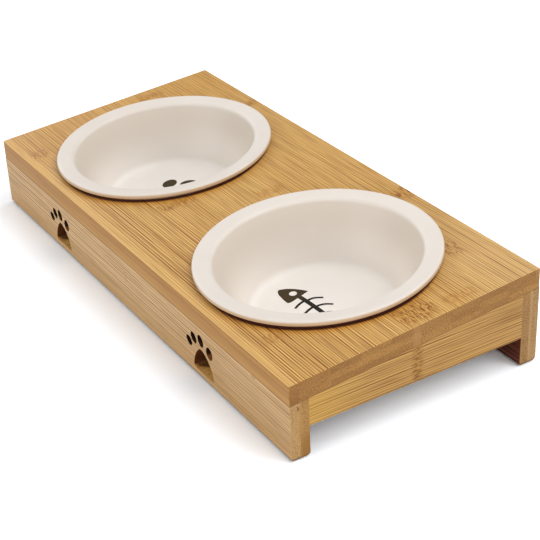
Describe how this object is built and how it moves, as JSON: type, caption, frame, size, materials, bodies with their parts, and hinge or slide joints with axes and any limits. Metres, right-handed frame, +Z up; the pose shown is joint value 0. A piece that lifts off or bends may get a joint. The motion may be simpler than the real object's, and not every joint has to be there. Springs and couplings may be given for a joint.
{
  "type": "cat feeding station",
  "caption": "Low bamboo table with a gently sloped top that holds lift-out glazed bowls in round holes, with paw cut-outs along its low side.",
  "frame": {"origin": "middle of the footprint, on the floor under the foot pads", "axes": "+X along the long side, +Y from the low front side with the paw cut-outs to the high rear side, +Z up"},
  "size_m": [0.4, 0.177, 0.0689],
  "materials": {
    "bamboo": "satin",
    "dowel_wood": "matte",
    "pad_rubber": "matte",
    "glaze": "gloss"
  },
  "bodies": {
    "table": {"top_board": "bamboo", "front_rail_outer_ply": "bamboo", "front_rail_inner_ply": "bamboo", "rear_rail_inner_ply": "bamboo", "rear_rail_outer_ply": "bamboo", "left_end_rail": "bamboo", "right_end_rail": "bamboo", "front_board_dowels": "dowel_wood", "rear_board_dowels": "dowel_wood", "left_end_dowels": "dowel_wood", "right_end_dowels": "dowel_wood", "front_left_foot_pad": "pad_rubber", "front_right_foot_pad": "pad_rubber", "rear_left_foot_pad": "pad_rubber", "rear_right_foot_pad": "pad_rubber"},
    "food_bowl": {"food_bowl": "glaze"},
    "water_bowl": {"water_bowl": "glaze"}
  },
  "joints": [
    {"name": "food_bowl_lift", "type": "slide", "parent": "table", "child": "food_bowl", "axis": [0, -0.0788, 0.9969], "range_m": [0, 0.065]},
    {"name": "water_bowl_lift", "type": "slide", "parent": "table", "child": "water_bowl", "axis": [0, -0.0788, 0.9969], "range_m": [0, 0.065]}
  ]
}
